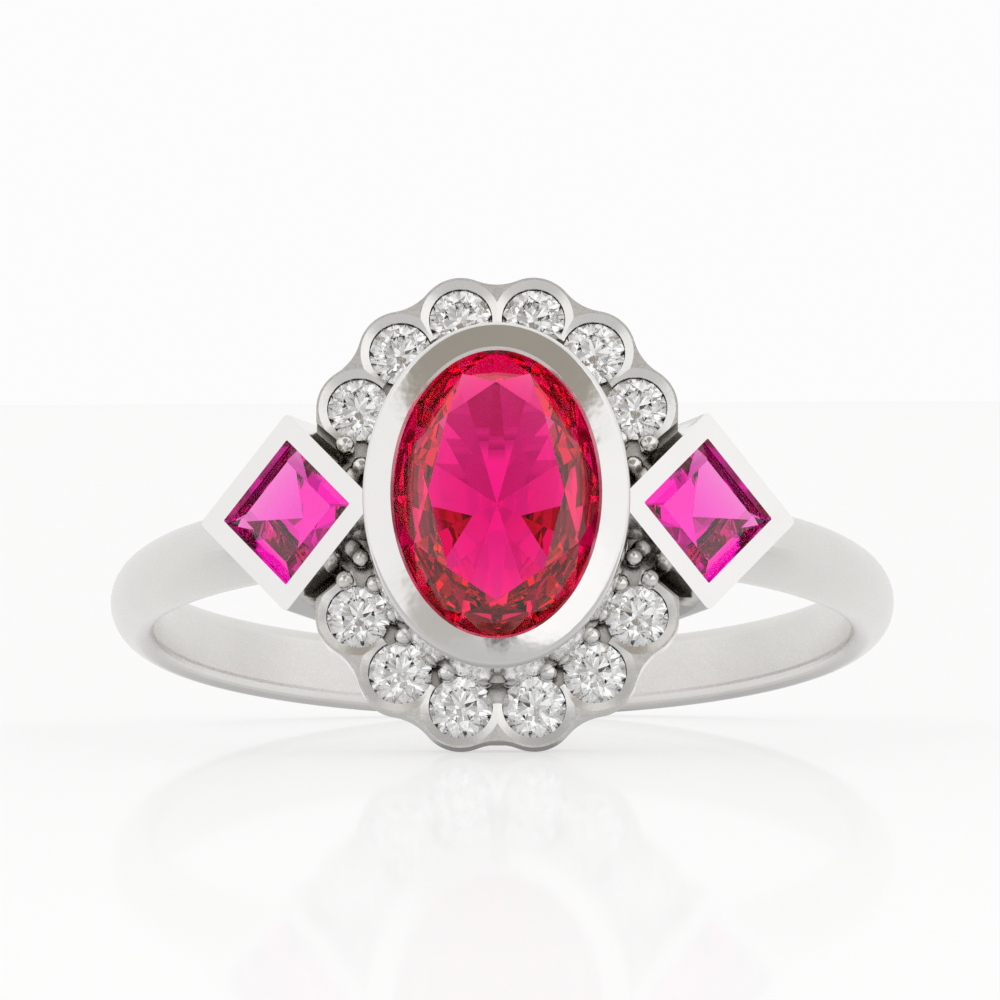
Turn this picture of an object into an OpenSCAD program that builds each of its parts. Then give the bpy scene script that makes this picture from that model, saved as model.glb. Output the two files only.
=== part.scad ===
// Halo ring with an oval centre stone, two square side stones and twelve small brilliants.
// Head frame used by the modules: +X right, +Y along the finger axis, +Z out through the head,
// with the origin in the middle of the finger bore. lay_down() turns it to the row frame, in which
// the ring lies as on a table, +Z up, resting on the lower scallops and on the back of the band.

/* [Band] */
// Radius of the finger bore
bore_r = 8.45; // [8:0.05:8.6]
// Width of the band along the finger
band_w = 1.85; // [1.6:0.05:2.2]
// Thickness of the band at the top of its dome
band_t = 1.05; // [1:0.05:1.1]
// Radius of the soft inner corners of the band
band_corner_r = 0.35; // [0.2:0.05:0.45]

/* [Centre stone] */
// Width of the oval stone
ruby_w = 5; // [4.8:0.1:5.1]
// Length of the oval stone
ruby_l = 7; // [6.8:0.1:7.1]
// Height of the stone's girdle above the finger axis
ruby_girdle_z = 11.6; // [11.55:0.05:11.8]
// Height of the crown above the girdle
ruby_crown = 0.72; // [0.5:0.02:0.9]
// Depth of the pavilion below the girdle
ruby_pavilion = 1.6; // [1.5:0.05:1.9]
// Width of the table as a share of the stone
ruby_table = 0.62; // [0.5:0.01:0.7]

/* [Centre bezel] */
// Thickness of the collar outside the stone
bezel_wall = 0.55; // [0.45:0.05:0.6]
// How far the lip folds over the stone
bezel_lip = 0.16; // [0.1:0.02:0.2]
// Height of the rim above the finger axis
bezel_rim_z = 12.2; // [12.1:0.05:12.3]

/* [Halo] */
// Diameter of the small brilliants
halo_stone_d = 1.45; // [1.3:0.05:1.5]
// Half-width of the oval on which the small brilliants stand
halo_half_w = 3.74; // [3.7:0.02:3.8]
// Half-length of the oval on which the small brilliants stand
halo_half_l = 4.68; // [4.6:0.02:4.75]
// Radius of each scallop of the plate round its stone
scallop_r = 0.98; // [0.92:0.02:1]
// Radius of the hollow between two scallops
scallop_blend_r = 1.25; // [0.8:0.05:1.5]
// Height of the plate's raised edge above the finger axis
halo_edge_z = 10.25; // [10.2:0.05:10.3]
// Height of the small brilliants' girdle above the finger axis
halo_girdle_z = 10.05; // [10:0.01:10.1]
// Thickness of the plate at its edge
halo_edge_t = 0.5; // [0.4:0.05:0.6]
// Radius of the setting beads
bead_r = 0.23; // [0.18:0.01:0.25]

/* [Side stones] */
// Width of the square side stones
side_stone_w = 2.55; // [2.4:0.05:2.6]
// Width of the square side bezels
side_bezel_w = 3.34; // [3.3:0.02:3.5]
// Width of the window that the side bezels leave open
side_window_w = 2.42; // [2.2:0.02:2.44]
// Distance of the side bezels' middles from the middle of the ring
side_x = 4.85; // [4.8:0.01:5]
// Height of the side bezels' rims above the finger axis
side_rim_z = 10.22; // [10.1:0.01:10.3]
// Lean of the side bezels away from the head, in degrees
side_lean = 30; // [26:1:32]

/* [Hidden] */

$fn = 96;
metal = [0.86, 0.86, 0.85];
ruby_red = [0.9, 0.05, 0.35];
side_pink = [0.95, 0.15, 0.6];
diamond_white = [0.93, 0.95, 0.97];

// Gaps and cutting bodies
gap = 0.01;
past = 1;

// Band section: two corner circles and the dome circle that touches both
band_r = bore_r + band_t;
corner_mid_r = bore_r + band_corner_r;
corner_mid_y = band_w / 2 - band_corner_r;
dome_rise = band_t - band_corner_r;
dome_r = (pow(dome_rise, 2) + pow(corner_mid_y, 2) - pow(band_corner_r, 2))
    / (2 * (dome_rise - band_corner_r));
dome_mid_r = band_r - dome_r;
dome_angle = atan2(corner_mid_y, corner_mid_r - dome_mid_r);

// Gap in the band under the head
band_gap = 2 * side_x - 0.5;

// Centre stone and its bezel, whose section is laid out as offsets from the stone's outline
ruby_girdle_t = 0.1;
ruby_under_z = ruby_girdle_z - ruby_girdle_t;
ruby_seat_s = 0.3;
crown_slope = ruby_crown / (ruby_w / 2 * (1 - ruby_table));
pavilion_slope = 1.03 * ruby_pavilion / (ruby_w / 2);
ruby_seat_z = ruby_under_z - ruby_seat_s * pavilion_slope - 2 * gap;
rim_slope = 12;
rim_round = 0.18;
lip_chamfer = 0.07;
neck_wall = bezel_wall - 0.14;
neck_top_z = halo_edge_z + 0.08;
round_s = bezel_wall - rim_round;
round_z = bezel_rim_z - rim_round * cos(rim_slope)
    - (round_s + rim_round * sin(rim_slope) + bezel_lip - lip_chamfer) * tan(rim_slope);
collar_clear = 0.06;
collar_low_z = sqrt(pow(band_r, 2) - pow(ruby_w / 2 - ruby_seat_s, 2)) + collar_clear;
finger_clear = 0.32;

// Halo: the plate is a scalloped edge on a foot that stands back from it
halo_turns = [31.5, 53.5, 77];
halo_r = halo_stone_d / 2;
halo_crown = 0.235;
halo_pavilion = 0.62;
halo_girdle_t = 0.04;
halo_table = 0.56;
halo_under_z = halo_girdle_z - halo_girdle_t;
halo_foot_r = scallop_r - 0.13;
halo_foot_z = 9.45;
halo_floor_z = 9.85;
edge_land = 0.05;
slope_drop = 0.08;
drain_r = 0.28;
drain_top_z = halo_under_z - halo_pavilion * (1 - drain_r / halo_r) - 0.04;
trench_s = bezel_wall + 0.45;
moat_w = 0.25;

// Gallery wall under the plate, as offsets from the centre oval
gallery_in = 1.46;
gallery_out = 1.7;

// Setting beads: two on the inner side of each brilliant and two more in each corner
bead_reach = halo_r + 0.11;
bead_spread = 30;
bead_turn = 7;
bead_z = halo_girdle_z + 0.11;
bead_post_r = 0.12;
corner_beads = [[3.5, 1.6], [3.13, 1.08]];

// Side stones, measured down from the rim of their bezels
side_depth = 3.3;
side_outer_r = 0.14;
side_inner_r = 0.04;
side_lip = 0.25;
side_girdle_drop = 0.32;
side_girdle_t = 0.06;
side_seat_drop = 0.6;
side_seat_w = 2.1;
side_crown = 0.3;
side_pavilion = 1.05;
side_table = 0.66;

// Tilt at which the lower scallops and the rounded back edge of the band both touch the table
halo_low_y = halo_half_l * sin(halo_turns[2]) + scallop_r;
halo_low_z = halo_edge_z - halo_edge_t;
rest_a = halo_low_y - corner_mid_y;
rest_b = halo_low_z + corner_mid_r;
rest_tilt = acos(band_corner_r / norm([rest_a, rest_b])) - atan2(rest_b, rest_a);

// The finger axis leans back by rest_tilt from upright
module lay_down() {
    rotate([90 - rest_tilt, 0, 0]) children();
}

function polar(r, angle, z) = [r * cos(angle), r * sin(angle), z];
function stretch(p, kx, ky) = [p[0] * kx, p[1] * ky, p[2]];

// Faceted stone with eight mains above and below, on a girdle of sixteen points. On an oval stone the
// crown keeps one width all round, and the pavilion is the round pattern stretched.
module brilliant(half_w, half_l, crown, pavilion, girdle_t, table) {
    function on_crown(share, angle, z) =
        stretch(polar(1, angle, z), share * half_w, half_l - (1 - share) * half_w);
    function below(share, angle, z) = stretch(polar(share, angle, -girdle_t - z), half_w, half_l);
    star = table + 0.5 * (1 - table);
    star_z = crown * (1 - star * cos(22.5)) / (1 - table);
    lower = 0.24;
    lower_z = pavilion * (1 - lower * cos(22.5));
    points = concat(
        [for (k = [0:7]) on_crown(table, 45 * k, crown)],
        [for (k = [0:7]) on_crown(star, 45 * k + 22.5, star_z)],
        [for (j = [0:15]) on_crown(1, 22.5 * j, 0)],
        [for (j = [0:15]) below(1, 22.5 * j, 0)],
        [for (k = [0:7]) below(lower, 45 * k + 22.5, lower_z)],
        [below(0, 0, pavilion)]);
    function table_at(k) = k % 8;
    function star_at(k) = 8 + (k + 8) % 8;
    function upper_at(j) = 16 + j % 16;
    function under_at(j) = 32 + j % 16;
    function lower_at(k) = 48 + (k + 8) % 8;
    culet = 56;
    faces = concat(
        [[for (k = [7:-1:0]) table_at(k)]],
        [for (k = [0:7]) [table_at(k + 1), star_at(k), table_at(k)]],
        [for (k = [0:7]) [table_at(k), star_at(k), upper_at(2 * k), star_at(k - 1)]],
        [for (k = [0:7]) [star_at(k), upper_at(2 * k + 1), upper_at(2 * k)]],
        [for (k = [0:7]) [star_at(k), upper_at(2 * k + 2), upper_at(2 * k + 1)]],
        [for (j = [0:15]) [upper_at(j), upper_at(j + 1), under_at(j + 1), under_at(j)]],
        [for (k = [0:7]) [under_at(2 * k), under_at(2 * k + 1), lower_at(k)]],
        [for (k = [0:7]) [under_at(2 * k + 1), under_at(2 * k + 2), lower_at(k)]],
        [for (k = [0:7]) [under_at(2 * k), lower_at(k), culet, lower_at(k - 1)]]);
    polyhedron(points, faces);
}

// Square faceted stone with its corners on the diagonals and a star on each side of its table
module square_cut(half, crown, pavilion, girdle_t, table) {
    mid = 0.84;
    mid_z = 1.1 * crown * (1 - mid) / (1 - table);
    deep = 0.46;
    deep_z = pavilion * (1 - deep);
    edge = 0.62;
    edge_z = 1.04 * pavilion * (1 - edge);
    corner = sqrt(2) * half;
    points = concat(
        [for (k = [0:3]) polar(table * corner, 45 + 90 * k, crown)],
        [for (k = [0:3]) polar(mid * half, 90 + 90 * k, mid_z)],
        [for (k = [0:3]) polar(corner, 45 + 90 * k, 0)],
        [for (k = [0:3]) polar(corner, 45 + 90 * k, -girdle_t)],
        [for (k = [0:3]) polar(deep * corner, 45 + 90 * k, -girdle_t - deep_z)],
        [for (k = [0:3]) polar(edge * half, 90 + 90 * k, -girdle_t - edge_z)],
        [[0, 0, -girdle_t - pavilion]]);
    culet = 24;
    faces = concat(
        [[3, 2, 1, 0]],
        [for (k = [0:3]) let (n = (k + 1) % 4) each [
            [n, 4 + k, k],
            [k, 4 + k, 8 + k],
            [n, 8 + n, 4 + k],
            [4 + k, 8 + n, 8 + k],
            [8 + k, 8 + n, 12 + n, 12 + k],
            [12 + k, 12 + n, 20 + k],
            [12 + k, 20 + k, 16 + k],
            [20 + k, 12 + n, 16 + n],
            [16 + k, 20 + k, culet],
            [20 + k, 16 + n, culet]]]);
    polyhedron(points, faces);
}

function toward(angle) = [cos(angle), sin(angle)];

// Points along an arc, without its last one
function arc(mid, r, from, to, steps) =
    [for (i = [0:steps - 1]) mid + r * toward(from + (to - from) * i / steps)];

// Elliptical prism, an offset s outside the centre stone's outline
module oval_prism(s, z_low, z_high) {
    translate([0, 0, z_low]) scale([ruby_w / 2 + s, ruby_l / 2 + s, 1]) cylinder(h = z_high - z_low, r = 1);
}

// Closed ring round the centre stone: each point of the section is an offset and a height
module oval_ring(section, steps) {
    rim = len(section);
    function at(i, j) = (i % steps) * rim + j % rim;
    polyhedron(
        [for (i = [0:steps - 1], p = section)
            stretch(polar(1, 360 * i / steps, p[1]), ruby_w / 2 + p[0], ruby_l / 2 + p[0])],
        [for (i = [0:steps - 1], j = [0:rim - 1]) [at(i, j), at(i, j + 1), at(i + 1, j + 1), at(i + 1, j)]]);
}

module band_section() {
    polygon(concat(
        arc([corner_mid_r, -corner_mid_y], band_corner_r, 180, 360 - dome_angle, 9),
        arc([dome_mid_r, 0], dome_r, -dome_angle, dome_angle, 18),
        arc([corner_mid_r, corner_mid_y], band_corner_r, dome_angle, 180, 9),
        [[bore_r, corner_mid_y]]));
}

module band_body() {
    rotate([-90, 0, 0]) rotate_extrude($fn = 180) band_section();
}

// Room kept free for the finger, a little outside the bore
module finger_room() {
    rotate([-90, 0, 0]) cylinder(h = 3 * ruby_l, r = bore_r + finger_clear, center = true);
}

// The band ends against the side bezels, so that light reaches the stones from behind
module shank() {
    color(metal) lay_down() difference() {
        band_body();
        both_side_blocks(0);
        translate([-band_gap / 2, -band_w, 0]) cube([band_gap, 2 * band_w, band_r + past]);
    }
}

// The collar's section runs down its outside to a slimmer neck between the brilliants, in under it,
// up the seat and over the lip
module centre_bezel() {
    color(metal) lay_down() oval_ring(concat(
        [[lip_chamfer - bezel_lip, bezel_rim_z]],
        [for (slope = [rim_slope:13:90]) [round_s, round_z] + rim_round * [sin(slope), cos(slope)]],
        [[bezel_wall, neck_top_z], [neck_wall, neck_top_z], [neck_wall, collar_low_z],
        [-ruby_seat_s, collar_low_z], [-ruby_seat_s, ruby_seat_z],
        [gap, ruby_under_z - gap], [gap, ruby_girdle_z + gap],
        [-bezel_lip, ruby_girdle_z + bezel_lip * crown_slope + gap],
        [-bezel_lip, bezel_rim_z - lip_chamfer]]), 96);
}

module centre_ruby() {
    color(ruby_red) lay_down() translate([0, 0, ruby_girdle_z])
        brilliant(ruby_w / 2, ruby_l / 2, ruby_crown, ruby_pavilion, ruby_girdle_t, ruby_table);
}

// Places of the small brilliants, counted round from the right side through the top
function halo_turn(i) = let (quarter = floor(i / 3), k = i % 3)
    90 * (quarter + quarter % 2) + (quarter % 2 == 0 ? halo_turns[k] : -halo_turns[2 - k]);
function halo_at(i) = [halo_half_w * cos(halo_turn(i)), halo_half_l * sin(halo_turn(i))];
function halo_bearing(i) = atan2(halo_half_w * sin(halo_turn(i)), halo_half_l * cos(halo_turn(i)));

// Outline of the plate with scallops of radius r. Between two stones a hollow touches both
// scallops, and at each side a straight edge reaches the square bezel.
module scallops(r) {
    function chord(i) = halo_at(i + 1) - halo_at(i);
    function facing(i) = (atan2(chord(i)[1], chord(i)[0]) + 270) % 360;
    function touch(i) = acos(norm(chord(i)) / 2 / (r + scallop_blend_r));
    function turn_from(i) = i % 6 == 0 ? 30 * i : facing(i - 1) - 90 + touch(i - 1);
    function turn_to(i) = i % 6 == 5 ? 30 * (i + 1) : facing(i) + 90 - touch(i);
    function hollow(i) = halo_at(i) + (r + scallop_blend_r) * toward(turn_to(i));
    function after(i) = i % 6 == 5 ? [halo_at(i) + r * toward(turn_to(i))]
        : arc(hollow(i), scallop_blend_r, turn_to(i) + 180, turn_from(i + 1) + 180, 6);
    polygon([for (i = [0:11]) each concat(arc(halo_at(i), r, turn_from(i), turn_to(i), 12), after(i))]);
}

// Room for a small brilliant: its open back, its seat and the bright-cut slope round it
module halo_seat() {
    slope_r = scallop_r - edge_land;
    rotate_extrude() polygon([
        [0, halo_foot_z - past], [drain_r, halo_foot_z - past], [drain_r, drain_top_z],
        [halo_r + gap, halo_under_z - gap], [halo_r + gap, halo_edge_z - slope_drop],
        [slope_r, halo_edge_z], [slope_r, halo_edge_z + past], [0, halo_edge_z + past]]);
}

// Square prism along the stone axis of a side setting, from drop_top to drop_low below its rim, with
// corners of radius r
module side_prism(w, drop_top, drop_low, r = side_inner_r) {
    reach = w / sqrt(2) - r * sqrt(2);
    translate([0, 0, -drop_low]) linear_extrude(drop_low - drop_top)
        polygon([for (turn = [0:90:270]) each arc(reach * toward(turn), r, turn - 45, turn + 45, 6)]);
}

// Puts a side setting in its place: side is -1 on the left and 1 on the right
module at_side(side) {
    translate([side * side_x, 0, side_rim_z]) rotate([0, side * side_lean, 0]) children();
}

// The space of both side bezels, widened by a margin
module both_side_blocks(margin) {
    for (side = [-1, 1]) at_side(side)
        side_prism(side_bezel_w + 2 * margin, -past, side_depth, side_outer_r);
}

// Half space that holds one end of the head: end is 1 at the top and -1 at the bottom
module end_space(end) {
    translate([-ruby_l, (end - 1) * ruby_l, 0]) cube(2 * ruby_l);
}

// Scalloped plate for six brilliants, from one side bezel round to the other
module halo(end) {
    difference() {
        intersection() {
            union() {
                translate([0, 0, halo_low_z]) linear_extrude(halo_edge_t) scallops(scallop_r);
                translate([0, 0, halo_foot_z]) linear_extrude(halo_edge_z - halo_foot_z)
                    scallops(halo_foot_r);
            }
            end_space(end);
        }
        for (i = [0:5]) translate(halo_at(i + 3 - 3 * end)) halo_seat();
        oval_prism(neck_wall, halo_foot_z - past, halo_edge_z + past);
        oval_prism(trench_s, halo_floor_z, halo_edge_z + past);
        both_side_blocks(0);
        intersection() {
            both_side_blocks(moat_w);
            translate([0, 0, halo_floor_z]) end_space(end);
        }
    }
}

module upper_halo() {
    color(metal) lay_down() halo(1);
}

module lower_halo() {
    color(metal) lay_down() halo(-1);
}

module bead() {
    translate([0, 0, bead_z]) sphere(bead_r, $fn = 32);
    translate([0, 0, halo_floor_z]) cylinder(h = bead_z - halo_floor_z, r = bead_post_r, $fn = 24);
}

// Two grains on the inner side of brilliant i
module bead_pair(i) {
    lean = halo_turn(i) % 180 < 90 ? bead_turn : -bead_turn;
    for (side = [-1, 1]) {
        bearing = halo_bearing(i) + 180 + lean + side * bead_spread;
        translate(halo_at(i)) rotate([0, 0, bearing]) translate([bead_reach, 0, 0]) bead();
    }
}

// Space that a small brilliant fills, which the beads are pressed over
module halo_stone_room() {
    crown_z = halo_girdle_z + halo_crown + gap;
    rotate_extrude() polygon([
        [0, halo_floor_z - past], [halo_r + gap, halo_floor_z - past], [halo_r + gap, halo_girdle_z + gap],
        [halo_table * halo_r + gap, crown_z], [0, crown_z]]);
}

module setting_beads() {
    color(metal) lay_down() difference() {
        union() {
            for (i = [0:11]) bead_pair(i);
            for (x = [-1, 1], y = [-1, 1], p = corner_beads) translate([x * p[0], y * p[1], 0]) bead();
        }
        for (i = [0:11]) translate(halo_at(i)) halo_stone_room();
        oval_prism(bezel_wall, halo_floor_z - past, bezel_rim_z);
        both_side_blocks(0);
    }
}

// Curved wall under one end of the plate
module gallery(end) {
    difference() {
        intersection() {
            oval_prism(gallery_out, bore_r - past, halo_foot_z);
            end_space(end);
        }
        oval_prism(gallery_in, bore_r - 2 * past, halo_foot_z + past);
        finger_room();
        both_side_blocks(0);
    }
}

module upper_gallery() {
    color(metal) lay_down() gallery(1);
}

module lower_gallery() {
    color(metal) lay_down() gallery(-1);
}

module side_bezel(side) {
    difference() {
        at_side(side) difference() {
            side_prism(side_bezel_w, 0, side_depth, side_outer_r);
            side_prism(side_window_w, -past, side_lip);
            side_prism(side_stone_w + 2 * gap, side_lip, side_seat_drop);
            side_prism(side_seat_w, side_lip, side_depth + past);
        }
        oval_prism(bezel_wall, bore_r - past, bezel_rim_z);
        finger_room();
    }
}

module side_stone(side) {
    at_side(side) translate([0, 0, -side_girdle_drop]) rotate([0, 0, 45])
        square_cut(side_stone_w / 2, side_crown, side_pavilion, side_girdle_t, side_table);
}

module left_side_bezel() {
    color(metal) lay_down() side_bezel(-1);
}

module right_side_bezel() {
    color(metal) lay_down() side_bezel(1);
}

module left_side_stone() {
    color(side_pink) lay_down() side_stone(-1);
}

module right_side_stone() {
    color(side_pink) lay_down() side_stone(1);
}

module halo_diamond(i) {
    color(diamond_white) lay_down() translate(concat(halo_at(i), halo_girdle_z)) rotate([0, 0, halo_turn(i)])
        brilliant(halo_r, halo_r, halo_crown, halo_pavilion, halo_girdle_t, halo_table);
}

shank();
upper_gallery();
lower_gallery();
upper_halo();
lower_halo();
setting_beads();
centre_bezel();
centre_ruby();
left_side_bezel();
right_side_bezel();
left_side_stone();
right_side_stone();
for (i = [1:12]) halo_diamond(i - 1);
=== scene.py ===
"""Looks of a cocktail ring: white metal, an oval ruby, two square pink stones and a halo of brilliants.

The ring lies on a glossy white table in a light tent. All shapes come from the CAD frame; this script
gives them their materials and sets the table, the light and the camera.
"""
import math

import bpy
from mathutils import Matrix, Vector


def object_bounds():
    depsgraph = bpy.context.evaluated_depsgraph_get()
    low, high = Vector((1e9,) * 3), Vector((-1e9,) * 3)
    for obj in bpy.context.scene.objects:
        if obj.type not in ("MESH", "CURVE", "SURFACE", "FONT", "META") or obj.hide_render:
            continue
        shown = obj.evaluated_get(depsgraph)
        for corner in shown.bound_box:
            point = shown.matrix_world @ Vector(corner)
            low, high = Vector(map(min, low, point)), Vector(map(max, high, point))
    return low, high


MM = 0.001

# Camera on its sphere round the finger bore, and where it looks, in degrees
CAMERA_DISTANCE = 185 * MM
CAMERA_AZIMUTH = 0.612
CAMERA_ELEVATION = 1.641
CAMERA_PAN = 0.0138
CAMERA_PITCH = -0.843
CAMERA_ROLL = -0.218
CAMERA_LENS = 274.2
SENSOR = 36

# Light tent. Its wall is darker in front and turns brighter over a span of depth directions. Each panel
# is a disc on the tent: azimuth, elevation, radius, width of its soft edge, all in degrees, brightness
# and tint. Azimuth 0 is the front and positive azimuths are on the right. Later panels lie over earlier.
WHITE = (1.0, 1.0, 1.0)
CREAM = (1.0, 0.955, 0.92)
SAND = (1.0, 0.91, 0.79)
TENT_FRONT = 0.80
TENT_BACK = 1.0
TENT_TURNS = (-0.5, 0.4)
PANELS = (
    (-54, 24, 26, 14, 1.06, WHITE),
    (54, 24, 26, 14, 1.12, WHITE),
    (2, 56, 25, 4, 0.40, SAND),
    (-0.6, 26.2, 2.5, 1.5, 0.12, CREAM),
    (-16, 6, 7, 5, 0.60, CREAM),
    (17, 8, 12, 5, 1.22, WHITE),
    (0.6, 1.6, 2.5, 2.5, 0.12, CREAM),
)

# Brightness of the white that the camera sees behind the ring
BACKGROUND = 0.974

# White table as the camera sees it: the light it scatters, the glow beside that, and a gloss that
# grows with depth from the front of the table to the ring
TABLE_HALF_WIDTH = 4.0
TABLE_SCATTER = 0.35
TABLE_GLOW = 0.68
TABLE_GLOSS = (0.06, 0.17)
GLOSS_GROWS = (-75 * MM, -15 * MM)
GLOSS_ROUGHNESS = 0.04

# The same table as the ring sees it: its brightness in front and behind, and the share left in the
# ring's shade. The head's shade is round. The band's follows its circle, and deepens to the back, where
# the band comes down to the table.
TABLE_FRONT = 0.65
TABLE_BACK = 1.0
TABLE_TURNS = (-20 * MM, 0)
TABLE_SHADE = 0.62
HEAD_SHADE_CENTRE = -8 * MM
HEAD_SHADE_REACH = (4 * MM, 8 * MM)
BAND_RADIUS = 9 * MM
BAND_SHADE_REACH = (0.6 * MM, 1.6 * MM)
BAND_NEARS_TABLE = (1 * MM, 6 * MM)

# Metals, the painted shade that darkens their corners, and how far apart the walls of such a corner may be
SATIN = (0.74, 0.725, 0.705)
POLISHED = (0.82, 0.81, 0.795)
BRIGHT_CUT = (0.85, 0.835, 0.815)
PAINTED_CORNER_SHADE = (0.25, 0.23, 0.21)
CORNER_SHADE_REACH = 0.5 * MM

# Grain of the textures, in waves per metre: slow unevenness and polishing marks of the metal, and the
# faint silk on the stones
UNEVEN_SCALE = 900
MARKS_SCALE = 14000
SILK_SCALE = 1500

# Smooth shading: corners this near are one, and edges up to this angle are shaded over
WELD = 1e-7
SHARP_ANGLE = math.radians(28)

# Worn edges of the side bezels
EDGE_WIDTH = 0.05 * MM
EDGE_STEPS = 3
EDGE_ANGLE = math.radians(40)


def direction(azimuth, elevation):
    """Unit vector towards a place on the tent."""
    a, e = math.radians(azimuth), math.radians(elevation)
    return Vector((math.sin(a) * math.cos(e), -math.cos(a) * math.cos(e), math.sin(e)))


class Nodes:
    """A node tree with short calls to add and join nodes."""

    def __init__(self, tree):
        self.tree = tree
        tree.nodes.clear()

    def add(self, kind, inputs=None, **settings):
        node = self.tree.nodes.new(kind)
        for key, value in settings.items():
            setattr(node, key, value)
        for key, value in (inputs or {}).items():
            socket = self.socket(node, key)
            if isinstance(value, bpy.types.NodeSocket):
                self.tree.links.new(value, socket)
            else:
                socket.default_value = value
        return node

    @staticmethod
    def socket(node, key):
        """An input by its name or number; a name can stand for several, of which one is in use."""
        if isinstance(key, int):
            return node.inputs[key]
        return next(socket for socket in node.inputs if socket.name == key and socket.enabled)

    def math(self, operation, a, b=0.0):
        return self.add("ShaderNodeMath", {0: a, 1: b}, operation=operation).outputs[0]

    def ramp(self, value, low, high, to_low, to_high, smooth=False):
        node = self.add(
            "ShaderNodeMapRange",
            {"Value": value, "From Min": low, "From Max": high, "To Min": to_low, "To Max": to_high},
            interpolation_type="SMOOTHSTEP" if smooth else "LINEAR",
        )
        return node.outputs["Result"]

    def noise(self, vector, scale, detail=2.0, roughness=0.5):
        node = self.add(
            "ShaderNodeTexNoise",
            {"Vector": vector, "Scale": scale, "Detail": detail, "Roughness": roughness},
        )
        return node.outputs["Fac"]

    def tint(self, value, low_color, high_color):
        """A colour between two, each of them numbers or a socket."""
        low, high = (
            color if isinstance(color, bpy.types.NodeSocket) else (*color, 1)
            for color in (low_color, high_color)
        )
        node = self.add("ShaderNodeMix", {"Factor": value, "A": low, "B": high}, data_type="RGBA")
        return next(socket for socket in node.outputs if socket.enabled)


def new_material(name):
    material = bpy.data.materials.new(name)
    material.use_nodes = True
    return material, Nodes(material.node_tree)


def white_metal(name, roughness, spread, wave, grain, color, shade_openness):
    """Rhodium-white metal. wave is the height of its hand-finished unevenness and grain that of its
    polishing marks, in metres, and spread is how far the roughness varies. The last argument is how open
    a place has to be, from 0 to 1, before it is free of the painted shade that darkens corners."""
    material, nodes = new_material(name)
    place = nodes.add("ShaderNodeTexCoord").outputs["Object"]
    slow = nodes.noise(place, UNEVEN_SCALE, 3)
    fine = nodes.noise(place, MARKS_SCALE, 4, 0.65)
    uneven = nodes.add("ShaderNodeBump", {"Height": slow, "Distance": wave})
    marks = nodes.add("ShaderNodeBump", {"Height": fine, "Distance": grain, "Normal": uneven.outputs[0]})
    # Painted shade: ambient occlusion mixes a dark colour into the base colour in corners and recesses
    openness = nodes.add("ShaderNodeAmbientOcclusion", {"Distance": CORNER_SHADE_REACH}, samples=8).outputs["AO"]
    unshaded = nodes.ramp(openness, 0.6 * shade_openness, shade_openness, 0.0, 1.0, smooth=True)
    darker = tuple(0.93 * c for c in color)
    shader = nodes.add(
        "ShaderNodeBsdfPrincipled",
        {
            "Base Color": nodes.tint(unshaded, PAINTED_CORNER_SHADE, nodes.tint(slow, darker, color)),
            "Metallic": 1.0,
            "Roughness": nodes.ramp(fine, 0.3, 0.7, roughness - spread, roughness + spread),
            "Normal": marks.outputs[0],
        },
    )
    nodes.add("ShaderNodeOutputMaterial", {"Surface": shader.outputs[0]})
    return material


def gem(name, ior, surface, clear, density):
    """Transparent faceted stone. surface is the tint of light that crosses its faces. clear is the share
    of each colour that its body lets through, and density is how strongly it takes the rest, per metre."""
    material, nodes = new_material(name)
    place = nodes.add("ShaderNodeTexCoord").outputs["Object"]
    silk = nodes.noise(place, SILK_SCALE, 4, 0.6)
    paler = tuple(min(1.0, c + 0.03) for c in surface)
    shader = nodes.add(
        "ShaderNodeBsdfPrincipled",
        {
            "Base Color": nodes.tint(silk, surface, paler),
            "Roughness": nodes.ramp(silk, 0.4, 0.8, 0.0, 0.02),
            "IOR": ior,
            "Transmission Weight": 1.0,
        },
    )
    output = nodes.add("ShaderNodeOutputMaterial", {"Surface": shader.outputs[0]})
    if density:
        inside = nodes.add("ShaderNodeVolumeAbsorption", {"Color": (*clear, 1), "Density": density})
        nodes.tree.links.new(inside.outputs[0], output.inputs["Volume"])
    return material


def smoothing_group():
    """Geometry nodes that join a mesh's doubled corners and shade it smooth except at sharp edges."""
    group = bpy.data.node_groups.new("smooth_by_angle", "GeometryNodeTree")
    group.interface.new_socket("Geometry", in_out="INPUT", socket_type="NodeSocketGeometry")
    group.interface.new_socket("Geometry", in_out="OUTPUT", socket_type="NodeSocketGeometry")
    nodes = Nodes(group)
    start = nodes.add("NodeGroupInput").outputs[0]
    plain = nodes.add("GeometryNodeRemoveAttribute", {"Geometry": start, "Name": "custom_normal"})
    joined = nodes.add(
        "GeometryNodeMergeByDistance", {"Geometry": plain.outputs[0], "Distance": WELD}
    ).outputs[0]
    angle = nodes.add("GeometryNodeInputMeshEdgeAngle").outputs["Unsigned Angle"]
    soft = nodes.add(
        "FunctionNodeCompare", {"A": angle, "B": SHARP_ANGLE}, data_type="FLOAT", operation="LESS_THAN"
    ).outputs[0]
    faces = nodes.add("GeometryNodeSetShadeSmooth", {"Geometry": joined}, domain="FACE").outputs[0]
    edges = nodes.add(
        "GeometryNodeSetShadeSmooth", {"Geometry": faces, "Shade Smooth": soft}, domain="EDGE"
    ).outputs[0]
    nodes.add("NodeGroupOutput", {"Geometry": edges})
    return group


def soften(node_names, edge_width=0.0):
    """Shades faceted walls smooth and, where an edge width is given, rounds their edges."""
    group = smoothing_group()
    for name in node_names:
        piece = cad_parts[name]
        piece.modifiers.new("smooth", "NODES").node_group = group
        if edge_width:
            bevel = piece.modifiers.new("worn_edges", "BEVEL")
            bevel.width = edge_width
            bevel.segments = EDGE_STEPS
            bevel.angle_limit = EDGE_ANGLE
            bevel.harden_normals = True


def dress(node_names, material):
    """Gives CAD nodes a material."""
    for name in node_names:
        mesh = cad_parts[name].data
        mesh.materials.clear()
        mesh.materials.append(material)


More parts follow.
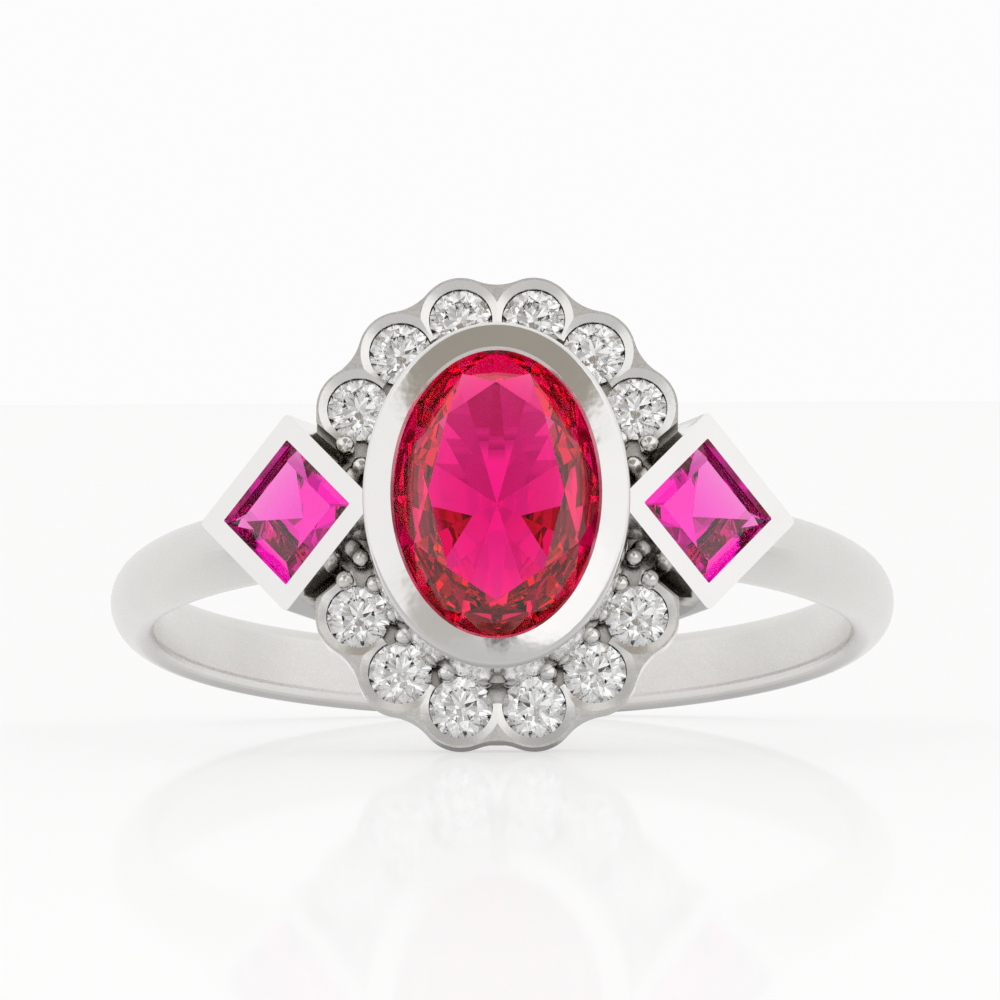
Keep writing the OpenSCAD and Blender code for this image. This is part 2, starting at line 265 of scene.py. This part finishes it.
def table_shade(nodes, place, depth, height):
    """Share of its light that each place of the table keeps in the ring's shade."""
    under_head = (0, HEAD_SHADE_CENTRE, height)
    from_head = nodes.add("ShaderNodeVectorMath", {0: place, 1: under_head}, operation="DISTANCE")
    head_shade = nodes.ramp(from_head.outputs["Value"], *HEAD_SHADE_REACH, TABLE_SHADE, 1.0, smooth=True)
    level = nodes.add("ShaderNodeVectorMath", {0: place, 1: (1, 1, 0)}, operation="MULTIPLY")
    from_axis = nodes.add("ShaderNodeVectorMath", {0: level.outputs["Vector"]}, operation="LENGTH")
    from_band = nodes.math("ABSOLUTE", nodes.math("SUBTRACT", from_axis.outputs["Value"], BAND_RADIUS))
    deepest = nodes.ramp(depth, *BAND_NEARS_TABLE, 1.0, TABLE_SHADE, smooth=True)
    band_shade = nodes.ramp(from_band, *BAND_SHADE_REACH, deepest, 1.0, smooth=True)
    return nodes.math("MINIMUM", head_shade, band_shade)


def add_table(height):
    """White table top that the ring lies on. The camera sees it plain and glossy, and other rays see it
    as bright as the table of a light tent is round the ring."""
    mesh = bpy.data.meshes.new("table_top")
    corners = [(-1, -1), (1, -1), (1, 1), (-1, 1)]
    mesh.from_pydata(
        [(TABLE_HALF_WIDTH * x, TABLE_HALF_WIDTH * y, height) for x, y in corners], [], [(0, 1, 2, 3)]
    )
    table = bpy.data.objects.new("table_top", mesh)
    bpy.context.scene.collection.objects.link(table)
    material, nodes = new_material("white_acrylic")
    place = nodes.add("ShaderNodeTexCoord").outputs["Object"]
    depth = nodes.add("ShaderNodeSeparateXYZ", {0: place}).outputs["Y"]

    matt = nodes.add("ShaderNodeBsdfDiffuse", {"Color": (TABLE_SCATTER, TABLE_SCATTER, TABLE_SCATTER, 1)})
    glow = nodes.add("ShaderNodeEmission", {"Strength": TABLE_GLOW})
    white = nodes.add("ShaderNodeAddShader", {0: matt.outputs[0], 1: glow.outputs[0]})
    polish = nodes.add("ShaderNodeBsdfGlossy", {"Roughness": GLOSS_ROUGHNESS})
    gloss = nodes.ramp(depth, *GLOSS_GROWS, *TABLE_GLOSS)
    plain = nodes.add("ShaderNodeMixShader", {0: gloss, 1: white.outputs[0], 2: polish.outputs[0]})

    open_light = nodes.ramp(depth, *TABLE_TURNS, TABLE_FRONT, TABLE_BACK, smooth=True)
    shaded = nodes.math("MULTIPLY", open_light, table_shade(nodes, place, depth, height))
    dim = nodes.add("ShaderNodeEmission", {"Strength": shaded})

    camera_ray = nodes.add("ShaderNodeLightPath").outputs["Is Camera Ray"]
    seen = nodes.add("ShaderNodeMixShader", {0: camera_ray, 1: dim.outputs[0], 2: plain.outputs[0]})
    nodes.add("ShaderNodeOutputMaterial", {"Surface": seen.outputs[0]})
    mesh.materials.append(material)


def add_tent():
    """World light: the tent with its panels lights the ring, and the camera sees plain white."""
    world = bpy.data.worlds.new("light_tent")
    world.use_nodes = True
    bpy.context.scene.world = world
    nodes = Nodes(world.node_tree)
    toward = nodes.add("ShaderNodeTexCoord").outputs["Generated"]
    parts = nodes.add("ShaderNodeSeparateXYZ", {0: toward})
    wall = nodes.ramp(parts.outputs["Y"], *TENT_TURNS, TENT_FRONT, TENT_BACK, smooth=True)
    light = nodes.add("ShaderNodeCombineColor", {0: wall, 1: wall, 2: wall}).outputs[0]
    for azimuth, elevation, radius, edge, brightness, tint in PANELS:
        near = nodes.add(
            "ShaderNodeVectorMath", {0: toward, 1: direction(azimuth, elevation)}, operation="DOT_PRODUCT"
        )
        low, high = math.cos(math.radians(radius + edge)), math.cos(math.radians(radius))
        cover = nodes.ramp(near.outputs["Value"], low, high, 0.0, 1.0, smooth=True)
        light = nodes.tint(cover, light, tuple(brightness * c for c in tint))
    white = (1, 1, 1, 1)
    seen = nodes.add("ShaderNodeBackground", {"Color": white, "Strength": BACKGROUND})
    lighting = nodes.add("ShaderNodeBackground", {"Color": light, "Strength": 1.0})
    camera_ray = nodes.add("ShaderNodeLightPath").outputs["Is Camera Ray"]
    both = nodes.add("ShaderNodeMixShader", {0: camera_ray, 1: lighting.outputs[0], 2: seen.outputs[0]})
    nodes.add("ShaderNodeOutputWorld", {"Surface": both.outputs[0]})


def add_camera():
    """Camera on its sphere, turned by its pan, pitch and roll."""
    data = bpy.data.cameras.new("camera")
    data.sensor_width = SENSOR
    data.lens = CAMERA_LENS
    data.clip_start = 0.01
    camera = bpy.data.objects.new("camera", data)
    bpy.context.scene.collection.objects.link(camera)
    place = Matrix.Translation(direction(CAMERA_AZIMUTH, CAMERA_ELEVATION) * CAMERA_DISTANCE)
    pan = Matrix.Rotation(math.radians(CAMERA_AZIMUTH + CAMERA_PAN), 4, "Z")
    pitch = Matrix.Rotation(math.radians(90 + CAMERA_PITCH), 4, "X")
    roll = Matrix.Rotation(math.radians(CAMERA_ROLL), 4, "Z")
    camera.matrix_world = place @ pan @ pitch @ roll
    bpy.context.scene.camera = camera


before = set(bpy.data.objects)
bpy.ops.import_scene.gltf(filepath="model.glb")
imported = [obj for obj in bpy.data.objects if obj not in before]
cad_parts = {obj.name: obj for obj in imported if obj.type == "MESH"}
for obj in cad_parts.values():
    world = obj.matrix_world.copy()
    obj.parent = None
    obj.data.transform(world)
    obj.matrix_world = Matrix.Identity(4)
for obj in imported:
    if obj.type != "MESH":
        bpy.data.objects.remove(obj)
cad_low, cad_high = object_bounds()

# Enough bounces for light to find its way through the stones
scene = bpy.context.scene
scene.view_settings.view_transform = "Standard"
scene.cycles.max_bounces = 24
scene.cycles.glossy_bounces = 16
scene.cycles.transmission_bounces = 16

diamonds = [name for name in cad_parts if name.startswith("halo_diamond")]
# The last number of each metal is how open a place must be to escape its painted corner shade
satin = white_metal("satin_white_metal", 0.30, 0.05, 1.5e-5, 1.0e-6, SATIN, 0.15)
polished = white_metal("polished_white_metal", 0.12, 0.02, 2.5e-5, 0.2e-6, POLISHED, 0.1)
bright_cut = white_metal("bright_cut_white_metal", 0.24, 0.05, 2.0e-5, 1.0e-6, BRIGHT_CUT, 0.46)
beaded = white_metal("beaded_white_metal", 0.16, 0.04, 1.0e-5, 0.5e-6, BRIGHT_CUT, 0.55)
ruby = gem("ruby", 1.76, (1.0, 0.5, 0.35), (0.999, 0.3, 0.935), 2700)
pink = gem("pink_stone", 1.76, (1.0, 0.5, 0.7), (0.998, 0.3, 0.945), 2300)
diamond = gem("diamond", 2.42, (0.99, 0.99, 0.99), (1, 1, 1), 0)

dress(["shank", "upper_gallery", "lower_gallery"], satin)
dress(["centre_bezel", "left_side_bezel", "right_side_bezel"], polished)
dress(["upper_halo", "lower_halo"], bright_cut)
dress(["setting_beads"], beaded)
dress(["centre_ruby"], ruby)
dress(["left_side_stone", "right_side_stone"], pink)
dress(diamonds, diamond)

soften(["centre_bezel"])
soften(["left_side_bezel", "right_side_bezel"], EDGE_WIDTH)

add_camera()
add_tent()
add_table(cad_low.z)
